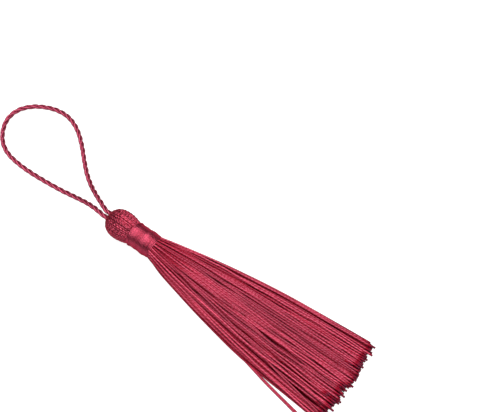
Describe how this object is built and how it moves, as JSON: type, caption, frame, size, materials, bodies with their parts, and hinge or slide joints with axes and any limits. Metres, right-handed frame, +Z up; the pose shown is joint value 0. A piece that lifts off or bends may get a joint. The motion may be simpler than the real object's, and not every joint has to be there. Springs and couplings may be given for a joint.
{
  "type": "silk tassel",
  "caption": "Crimson silk tassel lying flat: a bulb head of folded thread, a wound neck binding, a fanned skirt of cut threads, and a twisted cord loop to hang it by.",
  "frame": {"origin": "on the table, at the centre of the footprint of the head, binding and skirt (the cord loop isn't counted)", "axes": "+X from the head to the cut ends of the skirt, +Z up from the table, the loop at -X"},
  "size_m": [0.1968, 0.0554, 0.0127],
  "materials": {
    "thread": "satin crimson silk thread",
    "binding": "glossy crimson silk thread, wound tight",
    "cord": "satin crimson twisted cord"
  },
  "bodies": {
    "root": {"head_and_skirt": "thread", "neck_binding": "binding", "hanging_loop": "cord"}
  },
  "joints": []
}
